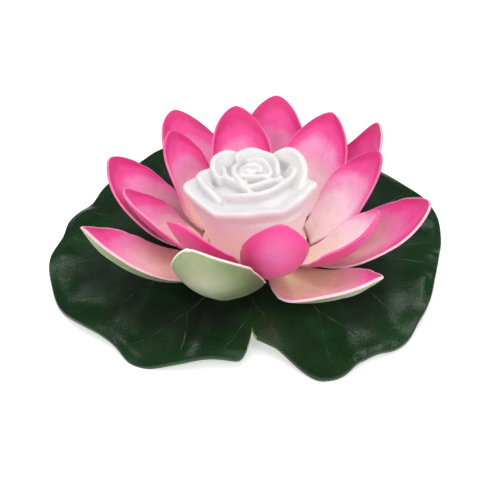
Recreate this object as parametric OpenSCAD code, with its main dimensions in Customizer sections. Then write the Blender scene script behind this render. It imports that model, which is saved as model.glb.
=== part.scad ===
// Floating lotus pool light: a foam lily pad on a foam float, sixteen foam petals in two
// tiers, and a battery lamp shaped like a rose that lifts out of the middle.
// Millimetres, +Z up. The origin is the middle of the pad's footprint, level with the
// underside of the float.

/* [Flower] */
// Distance of the flower's axis from the middle of the pad, to the right
flower_x = 2; // [-6:1:6]
// Distance of the flower's axis from the middle of the pad, to the back
flower_y = -16; // [-20:1:0]
// Thickness of the foam sheet that the petals are pressed from
petal_t = 1.5; // [1:0.25:2]
// Width of an outer petal, measured along its curve
outer_petal_w = 37; // [34:1:38]
// Width of an inner petal, measured along its curve
inner_petal_w = 33; // [30:1:34]
// Width of a petal's root, as a share of its full width
petal_root = 0.46; // [0.4:0.02:0.48]
// Distance from the flower's axis to the petal roots
root_r = 24; // [24:0.5:26]

/* [Pad and float] */
// Thickness of the pad's foam sheet
pad_t = 2; // [1.5:0.25:2.5]
// Radius of the float under the pad
float_r = 36; // [32:1:40]
// Thickness of the float
float_t = 8; // [7:0.5:9]
// Depth of the notch in the pad's front edge
notch_depth = 15.5; // [14:0.5:17]

/* [Rose lamp] */
// Radius of the lamp's base
lamp_r = 19.9; // [19.5:0.1:19.9]
// Radius of the rose at its widest petals
rose_r = 28; // [26:0.5:29]
// Height of the rose's top above the underside of the float
rose_top = 51; // [49:0.5:53]
// Wall of the rose's moulded skin
rose_wall = 1.5; // [1:0.25:2]

/* [Battery and button] */
// Radius of the battery cap
cap_r = 10.9; // [10.7:0.1:10.9]
// Distance of the battery cap's axis from the lamp's axis
cap_x = -5; // [-5:0.5:-4]
// Radius of the push button
button_r = 3.2; // [2.8:0.1:3.2]
// Distance of the button's axis from the lamp's axis
button_x = 12.5; // [12.5:0.1:13]

/* [Hidden] */
$fn = 72;

// Each petal is [bearing, lean, rise, curl, length, cup, twist]: where its root is, in
// degrees round the flower; how far it then leans to the left; its slope at the root and
// the slope it gains by the tip; millimetres along its middle; degrees of arc from its
// middle to an edge; and degrees of twist.
outer_petals = [
    [30, -4, 10, 72, 65, 52, -11],
    [79, 3, 21, 50, 62, 50, 1],
    [122, 1, 20, 31, 63, 44, 6],
    [169, -1, 15, 60, 58, 35, -5],
    [216, -2, 4, 65, 73, 46, -4],
    [259, -3, 4, 82, 71, 68, 11],
    [302, 0, 5, 50, 67, 27, 1],
    [347, -2, 10, 53, 64, 31, 9],
];
inner_petals = [
    [8, 0, 35, 41, 52, 36, 8],
    [52, -2, 31, 48, 54, 25, 5],
    [100, 2, 45, 27, 50, 56, 4],
    [145, 2, 42, 38, 47, 42, 8],
    [191, -8, 18, 49, 44, 45, 8],
    [237, -2, 35, 36, 50, 43, -4],
    [282, -9, 20, 76, 53, 68, -8],
    [325, 0, 17, 60, 56, 62, 12],
];

// The pad's edge from +X round: its radius every 10 degrees, and its height over the ground
// every 15 degrees.
edge_r = [
    87.5, 90, 91.5, 89.7, 90.5, 91, 92, 93, 93,
    93, 93, 93, 92.5, 88.8, 88.6, 85.6, 83, 87.2,
    87, 91.6, 92.3, 92.8, 91, 88.4, 91.8, 87.5, 81.5,
    82, 88.8, 93.5, 89.8, 92, 89, 86.8, 84.8, 85,
];
edge_z = [
    4, 5, 6, 6, 7, 8, 8, 8,
    8, 7, 6, 6, 5, 3, 1.5, 2.5,
    0.6, 4, 3.5, 0.5, 1, 1.5, 3, 4,
];
pad_x = 0.8;
pad_y = -2.3;
notch_at = 270;

// The notch is a slit with a wide step to its right. Widths are in degrees, and the slit's
// sides sharpen towards its end.
notch_left = 6;
notch_right = 17;
left_sharpness = 3.5;
right_sharpness = 2;
step_w = 10.5;
slit_right_w = 1.5;
slit_right_depth = 3.3;
step_depth = notch_depth - slit_right_depth;

// The pad is flat over the float and drops to its edge outside this radius.
pad_flat_r = float_r + 6;

// Heights of the flower's layers.
pad_top = float_t + pad_t;
root_gap = 0.1;
tier_gap = 1.5;
hub_gap = 0.9;
outer_z = pad_top + root_gap;
inner_z = outer_z + petal_t + tier_gap;
hub_split = pad_top + petal_t;
hub_top = hub_split + petal_t + 1;
hub_r = root_r - hub_gap;

// The socket and the ring that locks it under the float.
socket_gap = 0.4;
socket_r = lamp_r + socket_gap;
socket_wall = 1;
socket_out = socket_r + socket_wall;
socket_low = 1;
ledge_z = 2.2;
flange_t = 0.8;
fit_gap = 0.15;
lock_ring_r = 25;
lock_ring_t = 2;
lock_ring_z = 0.4;
lock_ring_gap = 0.05;
lock_pocket_h = 3.5;

// The lamp's base, from the bottom up.
ledge_w = 1;
plate_gap = 0.3;
plate_z = ledge_z + plate_gap;
plate_t = 2;
plate_top = plate_z + plate_t;
gasket_t = 0.6;
gasket_inset = 0.2;
housing_z = plate_top + gasket_t;
housing_wall = 1.4;
housing_top = 17;
spigot_top = 20.5;
rose_fit = 0.1;
spigot_r = lamp_r - rose_wall - rose_fit;
deck_t = 1.2;
screw_r = 16.4;
screw_at = [62, 118, 242, 298];
screw_shank_r = 0.85;
screw_head_r = 1.8;
screw_head_t = 0.9;
pilot_r = 0.9;
shank_hole_r = 1;
head_hole_r = 2;
recess = [2.4, 0.5, 1];
post_r = 2.1;
post_gap = 0.1;
post_z = 12;

// The battery compartment, with the cap turned shut at rest.
bay_gap = 0.3;
bay_r = cap_r + bay_gap;
bay_wall = 1.2;
bay_top = 9.4;
cap_z = plate_z + bay_gap;
cap_disc_t = 1.8;
cap_disc_top = cap_z + cap_disc_t;
spigot_t = 0.9;
spigot_step = 0.8;
lug_above = 0.4;
lug_z = cap_z + lug_above;
lug_t = 0.8;
lug_gap = 0.2;
lug_reach = 0.8;
lug_angle = 24;
slot_half = 2.9;
unlock = 45;
slot_w = 1.8;
slot_l = 16;
slot_depth = 0.9;
o_ring_r = 0.45;
cell_r = 10;
cell_t = 3.2;
cell_z = 6;
cell_rim = 1.2;
cell_step = 0.3;
strip = [12, 4, 0.2];
strip_end = 1.5;

// The board over the compartment.
board_z = 9.6;
board_t = 1.2;
board_top = board_z + board_t;
board_r = 14;
led_r = 2.5;
led_rim = 0.4;
led_tip = 19.4;
led_body_h = led_tip - led_r - board_top;
switch_w = 4.4;
switch_t = 3;
stem_r = 0.9;
stem_gap = 0.3;
stem_in = 1.2;
button_gap = 0.3;
button_recess = 0.4;
flange_lift = 0.2;
button_bottom = plate_z + button_recess;
button_flange_z = plate_top + flange_lift;
button_flange_r = 4.2;
button_flange_t = 0.7;
button_top = button_flange_z + button_flange_t;
seal_gap = 0.2;
seal_w = 0.6;
seal_h = 1.1;

// ---- helpers ----

module ring(outer, inner, z0, z1) {
    translate([0, 0, z0]) difference() {
        cylinder(r = outer, h = z1 - z0);
        translate([0, 0, -1]) cylinder(r = inner, h = z1 - z0 + 2);
    }
}

module at_flower() {
    translate([flower_x, flower_y, 0]) children();
}

// A smooth closed curve through values that are spaced evenly round a circle.
function around(values, at) =
    let (
        n = len(values),
        u = ((at % 360) + 360) % 360 / 360 * n,
        i = floor(u),
        t = u - i,
        a = values[(i + n - 1) % n],
        b = values[i % n],
        c = values[(i + 1) % n],
        d = values[(i + 2) % n]
    )
    b + 0.5 * t * (c - a + t * (2 * a - 5 * b + 4 * c - d + t * (3 * (b - c) + d - a)));

function smooth(t) =
    let (c = min(max(t, 0), 1))
    c * c * (3 - 2 * c);

// The triangles of a closed sheet: a grid of points on top, the same grid below, and its
// four sides. Point (i, j) of the top is number i * cols + j.
function sheet_faces(rows, cols) =
    let (half = rows * cols)
    concat(
        [for (i = [0:rows - 2], j = [0:cols - 2])
            each let (a = i * cols + j)
            [[a, a + 1, a + cols + 1], [a, a + cols + 1, a + cols]]],
        [for (i = [0:rows - 2], j = [0:cols - 2])
            each let (a = half + i * cols + j)
            [[a, a + cols + 1, a + 1], [a, a + cols, a + cols + 1]]],
        [for (i = [0:rows - 2])
            each let (a = i * cols, b = a + cols - 1)
            [[a, a + cols, a + cols + half], [a, a + cols + half, a + half],
             [b, b + half + cols, b + cols], [b, b + half, b + half + cols]]],
        [for (j = [0:cols - 2])
            each let (a = j, b = half - cols + j)
            [[a, a + half, a + half + 1], [a, a + half + 1, a + 1],
             [b, b + half + 1, b + half], [b, b + 1, b + half + 1]]]
    );

// ---- petals ----

petal_rows = 11;
petal_cols = 7;
petal_peak = 0.5;
petal_tip = 0.6;
tip_half_w = 0.6;

function petal_profile(s) =
    s < petal_peak
        ? petal_root + (1 - petal_root) * sin(90 * s / petal_peak)
        : pow(max(cos(90 * (s - petal_peak) / (1 - petal_peak)), 0), petal_tip);

// A point of the petal before it is turned to its bearing. s runs from root to tip, u from
// edge to edge, and side is 1 on the inner face and -1 on the outer face.
function petal_point(row, w, s, u, side) =
    let (
        rise = row[2],
        curl = row[3],
        l = row[4],
        turn = row[6] * smooth(2 * s),
        slope = curl * s,
        bend = curl * PI / 180,
        arc_r = w / 2 / (row[5] * PI / 180),
        half = max(w / 2 * petal_profile(s), tip_half_w),
        a = u * half / arc_r * 180 / PI,
        depth = arc_r * (1 - cos(a)) + side * petal_t / 2 * cos(a),
        x = l * sin(slope) / bend - depth * sin(slope),
        y = (arc_r - side * petal_t / 2) * sin(a),
        z = l * (1 - cos(slope)) / bend + depth * cos(slope),
        ty = y * cos(turn) - z * sin(turn),
        tz = y * sin(turn) + z * cos(turn)
    )
    [x * cos(rise) - tz * sin(rise), ty, x * sin(rise) + tz * cos(rise)];

module petal(row, w, z) {
    grid = [for (side = [1, -1], i = [0:petal_rows - 1], j = [0:petal_cols - 1])
        let (t = i / (petal_rows - 1), s = 1 - pow(1 - t, 1.3))
        petal_point(row, w, s, 2 * j / (petal_cols - 1) - 1, side)];
    at_flower() rotate([0, 0, row[0]])
        translate([root_r, 0, z + petal_t / 2]) rotate([0, 0, row[1]])
            polyhedron(points = grid, faces = sheet_faces(petal_rows, petal_cols));
}

module outer_petal(i) {
    color("hotpink") petal(outer_petals[i], outer_petal_w, outer_z);
}

module inner_petal(i) {
    color("lightpink") petal(inner_petals[i], inner_petal_w, inner_z);
}

// ---- pad and float ----

pad_rings = 8;
pad_hole_r = socket_out + fit_gap;

// Bearings round the pad: every 5 degrees, with closer ones at the notch.
pad_bearings = concat(
    [for (a = [notch_right + 4:5:360 - notch_left - 3]) notch_at + a],
    [for (a = [-8, -6, -4, -2.6, -1.6, -0.8]) notch_at + 360 + a],
    [for (a = [0, 0.7, 1.5, 4, 6.5, 8, 9.5, 11, 12.5, 14, 16]) notch_at + 360 + a]
);

function notch(at) =
    let (off = ((at - notch_at + 540) % 360) - 180)
    off < 0
        ? notch_depth * pow(max(1 + off / notch_left, 0), left_sharpness)
        : step_depth * smooth((notch_right - off) / step_w)
            + slit_right_depth * pow(max(1 - off / slit_right_w, 0), right_sharpness);

// A point at a bearing and a distance from the pad's middle.
function pad_place(at, r) = r * [cos(at), sin(at)] + [pad_x, pad_y];

function pad_point(at, t, side) =
    let (
        hole = pad_hole_r * [cos(at), sin(at)] + [flower_x, flower_y],
        uncut = around(edge_r, at),
        p = hole * (1 - t) + pad_place(at, uncut - notch(at)) * t,
        out = norm(p - [flower_x, flower_y]) - pad_flat_r,
        reach = norm(pad_place(at, uncut) - [flower_x, flower_y]) - pad_flat_r,
        drop = smooth(out / reach) * (float_t - around(edge_z, at))
    )
    [p[0], p[1], float_t - drop + side * pad_t];

module lily_pad() {
    n = len(pad_bearings);
    around_pad = [for (i = [0:n]) pad_bearings[i % n]];
    top = [for (a = around_pad, j = [0:pad_rings]) pad_point(a, j / pad_rings, 1)];
    low = [for (a = around_pad, j = [0:pad_rings]) pad_point(a, j / pad_rings, 0)];
    cols = pad_rings + 1;
    half = n * cols;
    faces = concat(
        [for (i = [0:n - 1], j = [0:pad_rings - 1])
            each let (a = i * cols + j, b = (i + 1) % n * cols + j)
            [[a, b + 1, a + 1], [a, b, b + 1]]],
        [for (i = [0:n - 1], j = [0:pad_rings - 1])
            each let (a = half + i * cols + j, b = half + (i + 1) % n * cols + j)
            [[a, a + 1, b + 1], [a, b + 1, b]]],
        [for (i = [0:n - 1])
            each let (a = i * cols, b = (i + 1) % n * cols)
            [[a, a + half, b + half], [a, b + half, b]]],
        [for (i = [0:n - 1])
            each let (a = i * cols + pad_rings, b = (i + 1) % n * cols + pad_rings)
            [[a, b + half, a + half], [a, b, b + half]]]
    );
    points = concat(
        [for (k = [0:half - 1]) top[k]],
        [for (k = [0:half - 1]) low[k]]
    );
    color("darkgreen") polyhedron(points = points, faces = faces);
}

module float_disc() {
    color("white") at_flower() difference() {
        ring(float_r, pad_hole_r, 0, float_t);
        translate([0, 0, -1]) cylinder(r = lock_ring_r + fit_gap, h = lock_pocket_h);
    }
}

module outer_hub_ring() {
    color("mistyrose") at_flower() ring(hub_r, pad_hole_r, pad_top, hub_split);
}

module inner_hub_ring() {
    color("mistyrose") at_flower() ring(hub_r, pad_hole_r, hub_split, hub_top);
}

// A tube with a flange over the hub rings and a ledge that the lamp stands on.
module lamp_socket() {
    color("whitesmoke") at_flower() {
        difference() {
            union() {
                ring(socket_out, socket_r, socket_low, hub_top + flange_t);
                ring(hub_r, socket_r, hub_top, hub_top + flange_t);
                ring(socket_out, lamp_r - ledge_w, socket_low, ledge_z);
            }
            translate([0, 0, socket_low - 1]) cylinder(r = lamp_r - ledge_w, h = 40);
        }
    }
}

module socket_lock_ring() {
    color("gainsboro") at_flower()
        ring(lock_ring_r, socket_out + lock_ring_gap, lock_ring_z, lock_ring_z + lock_ring_t);
}

// ---- lamp ----

module screw_posts(r, z0, z1) {
    for (a = screw_at)
        rotate([0, 0, a]) translate([screw_r, 0, z0]) cylinder(r = r, h = z1 - z0, $fn = 32);
}

// The white cup that carries the rose: a wall, a deck with the LED's hole, and a spigot.
module lamp_housing() {
    color("white") at_flower() difference() {
        union() {
            ring(lamp_r, lamp_r - housing_wall, housing_z, housing_top);
            ring(lamp_r, led_r + 1, post_z, post_z + deck_t);
            ring(spigot_r, spigot_r - deck_t, post_z, spigot_top);
            screw_posts(post_r, housing_z, post_z + deck_t / 2);
        }
        screw_posts(pilot_r, housing_z - 1, post_z - 1);
    }
}

// Outline of the rose's skin from its neck, up the bowl and over three rings of petals.
neck_gap = 0.2;
bowl_z = housing_top + neck_gap;
rim_z = rose_top - 6;
bowl_steps = 10;
bowl = [for (i = [0:bowl_steps])
    let (t = i / bowl_steps)
    [lamp_r + (rose_r - lamp_r) * pow(t, 0.75), bowl_z + (rim_z - bowl_z) * t]];
crown = [
    [rose_r - 0.8, rim_z + 1.2],
    [rose_r - 2.6, rim_z],
    [20, rim_z - 2],
    [19.5, rose_top - 2.6],
    [18.2, rose_top - 2],
    [16.5, rose_top - 4],
    [12.5, rose_top - 5],
    [11.5, rose_top - 0.6],
    [10, rose_top],
    [7.5, rose_top - 2],
    [4.5, rose_top - 1.2],
    [0, rose_top - 0.8],
];

module rose_shell() {
    inner_bowl = [for (p = bowl) [p[0] - rose_wall, p[1]]];
    under_crown = [[17, rim_z - 3.5], [12, rim_z - 1], [0, rim_z]];
    color("ivory") at_flower() rotate_extrude()
        polygon(concat(bowl, crown, [for (i = [2:-1:0]) under_crown[i]],
            [for (i = [bowl_steps - 2:-1:0]) inner_bowl[i]]));
}

module base_plate() {
    color("white") at_flower() difference() {
        union() {
            translate([0, 0, plate_z]) cylinder(r = lamp_r, h = plate_t);
            translate([cap_x, 0, plate_z]) cylinder(r = bay_r + bay_wall, h = bay_top - plate_z);
        }
        translate([cap_x, 0, plate_z - 1]) cylinder(r = bay_r, h = 20);
        translate([cap_x, 0, 0]) lug_groove();
        translate([button_x, 0, plate_z - 1]) cylinder(r = button_r + button_gap, h = 20);
        screw_posts(shank_hole_r, plate_z - 1, plate_top + 1);
        screw_posts(head_hole_r, plate_z - 1, plate_z + 1);
    }
}

// The groove that the cap's two lugs turn in, and the two slots that let them out.
module lug_groove() {
    groove_top = lug_z + lug_t + lug_gap;
    ring(bay_r + lug_reach, bay_r - 1, lug_z - lug_gap, groove_top);
    for (a = [unlock, unlock + 180])
        rotate([0, 0, a])
            translate([bay_r - 1, -slot_half, plate_z - 1])
                cube([lug_reach + 1, 2 * slot_half, lug_z + lug_gap - plate_z + 1]);
}

module base_gasket() {
    color("dimgray") at_flower() difference() {
        ring(lamp_r - gasket_inset, lamp_r - housing_wall, plate_top, housing_z);
        screw_posts(post_r + post_gap, plate_top - 1, housing_z + 1);
    }
}

module base_screws() {
    color("silver") at_flower() difference() {
        union() {
            screw_posts(screw_head_r, plate_z + 1 - screw_head_t, plate_z + 1);
            screw_posts(screw_shank_r, plate_z + screw_head_t / 2, post_z - 2);
        }
        for (a = screw_at)
            rotate([0, 0, a]) translate([screw_r, 0, plate_z]) {
                cube(recess, center = true);
                cube([recess[1], recess[0], recess[2]], center = true);
            }
    }
}

module led_board() {
    color("forestgreen") at_flower() translate([0, 0, board_z]) cylinder(r = board_r, h = board_t);
}

module led() {
    color("lightcyan") at_flower() translate([0, 0, board_top]) {
        cylinder(r = led_r + led_rim, h = 1);
        cylinder(r = led_r, h = led_body_h);
        translate([0, 0, led_body_h]) sphere(r = led_r);
    }
}

module tact_switch() {
    color("dimgray") at_flower() translate([button_x - 1, 0, board_z - switch_t]) difference() {
        translate([-switch_w / 2, -switch_w / 2, 0]) cube([switch_w, switch_w, switch_t]);
        translate([1, 0, -1]) cylinder(r = stem_r + stem_gap, h = switch_t, $fn = 32);
    }
}

module switch_stem() {
    color("black") at_flower() translate([button_x, 0, button_top])
        cylinder(r = stem_r, h = board_z - switch_t + stem_in - button_top, $fn = 32);
}

module coin_cell() {
    color("lightgray") at_flower() translate([cap_x, 0, cell_z]) {
        cylinder(r = cell_r - cell_rim, h = cell_step);
        translate([0, 0, cell_step]) cylinder(r = cell_r, h = cell_t - cell_step);
    }
}

// A spring strip over the cell, soldered to the board at its ends.
module positive_contact() {
    top = cell_z + cell_t;
    color("gold") at_flower() translate([cap_x, 0, top]) {
        translate([-strip[0] / 2, -strip[1] / 2, 0]) cube(strip);
        for (x = [-strip[0] / 2 - strip_end, strip[0] / 2])
            translate([x, -strip[1] / 2, 0]) cube([strip_end, strip[1], board_z - top]);
    }
}

module button_seal() {
    color("gray") at_flower() translate([button_x, 0, 0])
        ring(button_flange_r + seal_gap + seal_w, button_flange_r + seal_gap,
            plate_top, plate_top + seal_h);
}

// ---- battery cap ----

module battery_cap() {
    color("white") at_flower() translate([cap_x, 0, 0]) difference() {
        union() {
            translate([0, 0, cap_z]) cylinder(r = cap_r, h = cap_disc_t);
            translate([0, 0, cap_disc_top]) cylinder(r = cap_r - spigot_step, h = spigot_t);
            for (a = [0, 180])
                rotate([0, 0, a - lug_angle / 2])
                    rotate_extrude(angle = lug_angle)
                        translate([cap_r - 1, lug_z]) square([lug_reach + 1, lug_t]);
        }
        translate([-slot_l / 2, -slot_w / 2, cap_z - 1]) cube([slot_l, slot_w, 1 + slot_depth]);
    }
}

module cap_o_ring() {
    color("black") at_flower() translate([cap_x, 0, cap_disc_top + o_ring_r])
        rotate_extrude()
            translate([cap_r - spigot_step + o_ring_r, 0]) circle(r = o_ring_r, $fn = 32);
}

// A dished spring washer between the cap and the cell.
module negative_contact() {
    outline = [[6, 0], [6.6, 0], [6.6, 0.15], [2.6, 0.45], [2, 0.45], [2, 0.3]];
    color("silver") at_flower() translate([cap_x, 0, cap_disc_top + spigot_t])
        rotate_extrude() polygon(outline);
}

// ---- button ----

module button() {
    color("lightgray") at_flower() translate([button_x, 0, 0]) {
        translate([0, 0, button_bottom]) cylinder(r = button_r, h = button_top - button_bottom);
        translate([0, 0, button_flange_z])
            cylinder(r = button_flange_r, h = button_top - button_flange_z);
    }
}

float_disc();
lily_pad();
for (i = [1:8]) {
    outer_petal(i - 1);
    inner_petal(i - 1);
}
outer_hub_ring();
inner_hub_ring();
lamp_socket();
socket_lock_ring();
lamp_housing();
rose_shell();
base_plate();
base_gasket();
base_screws();
led_board();
led();
tact_switch();
coin_cell();
positive_contact();
button_seal();
battery_cap();
cap_o_ring();
negative_contact();
button();
switch_stem();
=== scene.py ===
"""Looks of the floating lotus pool light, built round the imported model.

The row frame is kept: metres, +Z up, the float's underside on the floor at z = 0. Shapes are
worked out in millimetres, and each mesh is turned to metres when it is made.
"""

import math

import bpy
import numpy as np
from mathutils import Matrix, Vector


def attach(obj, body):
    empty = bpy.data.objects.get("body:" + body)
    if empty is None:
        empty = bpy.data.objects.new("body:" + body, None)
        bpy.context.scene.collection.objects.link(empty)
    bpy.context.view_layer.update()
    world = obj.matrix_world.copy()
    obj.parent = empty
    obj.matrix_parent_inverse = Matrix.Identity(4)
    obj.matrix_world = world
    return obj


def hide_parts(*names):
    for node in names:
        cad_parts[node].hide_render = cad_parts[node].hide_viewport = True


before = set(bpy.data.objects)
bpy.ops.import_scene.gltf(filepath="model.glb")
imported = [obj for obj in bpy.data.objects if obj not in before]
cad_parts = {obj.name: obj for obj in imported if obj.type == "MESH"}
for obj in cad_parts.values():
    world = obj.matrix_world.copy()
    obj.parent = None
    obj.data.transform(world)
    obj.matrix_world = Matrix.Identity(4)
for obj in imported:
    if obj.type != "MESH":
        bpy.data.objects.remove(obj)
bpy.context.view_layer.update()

MM = 0.001

# ---- the flower's sizes, as in the CAD part, in millimetres ----

# The flower's axis, the thickness of its petals' sheet, their width along their curve in the
# two tiers, the share of it that their roots have, and the roots' distance from the axis.
FLOWER = (2.0, -16.0)
PETAL_T = 1.5
OUTER_W = 37.0
INNER_W = 33.0
PETAL_ROOT = 0.46
ROOT_R = 24.0

# The leaf's sheet, the float under it, and the heights at which the two tiers of petals lie.
PAD_T = 2.0
FLOAT_R = 36.0
FLOAT_T = 8.0
ROOT_GAP = 0.1
TIER_GAP = 1.5
OUTER_Z = FLOAT_T + PAD_T + ROOT_GAP
INNER_Z = OUTER_Z + PETAL_T + TIER_GAP

# Each petal is (bearing, lean, rise, curl, length, cup, twist): degrees round the flower,
# degrees that it leans to the left, its slope at the root, the slope it gains by the tip,
# its length, degrees of arc from its middle to an edge, and degrees of twist. Most of these
# numbers are an optimiser's fit to the outlines in the photo, rounded.
OUTER_PETALS = (
    (30, -4, 10, 72, 65, 52, -11),
    (79, 3, 21, 50, 62, 50, 1),
    (122, 1, 20, 31, 63, 44, 6),
    (169, -1, 15, 60, 58, 35, -5),
    (216, -2, 4, 65, 73, 46, -4),
    (259, -3, 4, 82, 71, 68, 11),
    (302, 0, 5, 50, 67, 27, 1),
    (347, -2, 10, 53, 64, 31, 9),
)
INNER_PETALS = (
    (8, 0, 35, 41, 52, 36, 8),
    (52, -2, 31, 48, 54, 25, 5),
    (100, 2, 45, 27, 50, 56, 4),
    (145, 2, 42, 38, 47, 42, 8),
    (191, -8, 18, 49, 44, 45, 8),
    (237, -2, 35, 36, 50, 43, -4),
    (282, -9, 20, 76, 53, 68, -8),
    (325, 0, 17, 60, 56, 62, 12),
)

# How each petal was sprayed: how pale its cut edge is, from 0 to 1, how much further down than
# usual its pink reaches, as a share of its length, and how fair it was left below its pink,
# from 0 for cream to 1 for nearly white.
OUTER_SPRAY = (
    (0.4, 0.08, 0.0), (0.1, 0.06, 0.4), (0.1, 0.1, 0.2), (0.1, 0.0, 0.5), (0.5, 0.0, 0.2),
    (1.0, 0.12, 0.0), (0.65, -0.12, 0.0), (0.5, -0.02, 0.0),
)
INNER_SPRAY = (
    (0.05, 0.02, 0.9), (0.1, 0.0, 0.7), (0.0, 0.16, 0.5), (0.05, 0.06, 0.3), (0.2, 0.06, 0.1),
    (0.15, 0.12, 0.1), (0.1, 0.0, 0.0), (0.05, -0.24, 1.0),
)

# The leaf's edge from +X round: its radius every 10 degrees, and its height over the floor
# every 15 degrees. Where the photo shows the edge, another program worked out its radius.
EDGE_R = (
    87.5, 90, 91.5, 89.7, 90.5, 91, 92, 93, 93, 93, 93, 93, 92.5, 88.8, 88.6, 85.6, 83, 87.2,
    87, 91.6, 92.3, 92.8, 91, 88.4, 91.8, 87.5, 81.5, 82, 88.8, 93.5, 89.8, 92, 89, 86.8, 84.8, 85,
)
EDGE_Z = (
    4, 5, 6, 6, 7, 8, 8, 8, 8, 7, 6, 6, 5, 3, 1.5, 2.5, 0.6, 4, 3.5, 0.5, 1, 1.5, 3, 4,
)

# The point that those radii are measured from, the hole round the socket, the radius within
# which the leaf is flat, and the bearing of its notch.
PAD_CENTRE = (0.8, -2.3)
PAD_HOLE_R = 21.45
PAD_FLAT_R = FLOAT_R + 6
NOTCH_AT = 270.0

# The two sides of the notch's slit: (depth, width in degrees, sharpness). A wide step lies
# beyond it on the right. The notch reaches NOTCH_LEFT and NOTCH_RIGHT degrees to its sides.
SLIT_LEFT = (15.5, 6.0, 3.5)
SLIT_RIGHT = (3.3, 1.5, 2.0)
STEP_DEPTH = 12.2
STEP_W = 10.5
NOTCH_LEFT = 6.0
NOTCH_RIGHT = 17.0

# The neck that the rose's bowl rises from, and the thickness of its skin.
NECK_R = 19.9
NECK_Z = 17.2
SKIN_T = 1.5


# ---- numbers and meshes ----

def smooth(t):
    """Rises from 0 to 1 as t does, level at both ends."""
    c = np.clip(t, 0, 1)
    return c * c * (3 - 2 * c)


def bell(offset, width):
    """A rounded hump of height 1 and the given half width."""
    return np.exp(-((offset / width) ** 2))


def turn_from(bearing, at):
    """How far bearing is from at, in degrees, from -180 to 180."""
    return (bearing - at + 540) % 360 - 180


def spline(a, b, c, d, t):
    """A smooth step from b at t = 0 to c at t = 1, with a before them and d after them."""
    return b + 0.5 * t * (c - a + t * (2 * a - 5 * b + 4 * c - d + t * (3 * (b - c) + d - a)))


def around(values, bearing):
    """A smooth closed curve through values spaced evenly round a circle."""
    v = np.asarray(values, float)
    n = len(v)
    u = bearing % 360 / 360 * n
    i = np.floor(u).astype(int)
    return spline(v[(i - 1) % n], v[i % n], v[(i + 1) % n], v[(i + 2) % n], u - i)


def through(points, count):
    """A smooth open curve of count points through the given points."""
    p = np.asarray(points, float)
    p = np.vstack([2 * p[0] - p[1], p, 2 * p[-1] - p[-2]])
    u = np.linspace(0, len(p) - 3, count)
    i = np.minimum(np.floor(u).astype(int), len(p) - 4)
    return spline(p[i], p[i + 1], p[i + 2], p[i + 3], (u - i)[:, None])


def rotate(a, b, angle):
    """Turns the pair (a, b) by an angle in radians, from the first axis to the second."""
    return a * np.cos(angle) - b * np.sin(angle), a * np.sin(angle) + b * np.cos(angle)


def grid_faces(rows, cols, start=0, flip=False, close_rows=False):
    """Four-sided faces of a grid whose point (i, j) is number start + i * cols + j."""
    faces = []
    for i in range(rows if close_rows else rows - 1):
        for j in range(cols - 1):
            a, b = start + i * cols + j, start + (i + 1) % rows * cols + j
            face = (a, b, b + 1, a + 1)
            faces.append(face[::-1] if flip else face)
    return faces


def border(rows, cols):
    """The numbers of a grid's border points, in order round it."""
    last = (rows - 1) * cols
    return (
        list(range(cols))
        + [i * cols + cols - 1 for i in range(1, rows)]
        + list(range(last + cols - 2, last - 1, -1))
        + [i * cols for i in range(rows - 2, 0, -1)]
    )


def make_mesh(name, points, faces, values=None):
    """A smooth mesh object from points in millimetres, with named values at its points."""
    mesh = bpy.data.meshes.new(name)
    mesh.from_pydata((np.asarray(points, float) * MM).tolist(), [], faces)
    mesh.validate()
    mesh.shade_smooth()
    for key, value in (values or {}).items():
        attribute = mesh.attributes.new(key, "FLOAT", "POINT")
        attribute.data.foreach_set("value", np.asarray(value, np.float32).ravel())
    made = bpy.data.objects.new(name, mesh)
    bpy.context.scene.collection.objects.link(made)
    return made


def settle(piece):
    """Applies the piece's modifiers, so that its mesh is final."""
    graph = bpy.context.evaluated_depsgraph_get()
    final = bpy.data.meshes.new_from_object(piece.evaluated_get(graph))
    piece.modifiers.clear()
    piece.data = final
    piece.data.shade_smooth()


def place(piece, body, node, material):
    """Puts a finished piece on its body, in the stead of its CAD node."""
    piece.data.materials.clear()
    piece.data.materials.append(material)
    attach(piece, body)
    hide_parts(node)


# ---- materials ----

def srgb(code):
    """A colour from its six-digit screen code, as the shaders want it."""
    parts = [int(code[i:i + 2], 16) / 255 for i in (0, 2, 4)]
    linear = [c / 12.92 if c <= 0.04045 else ((c + 0.055) / 1.055) ** 2.4 for c in parts]
    return (*linear, 1.0)


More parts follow.
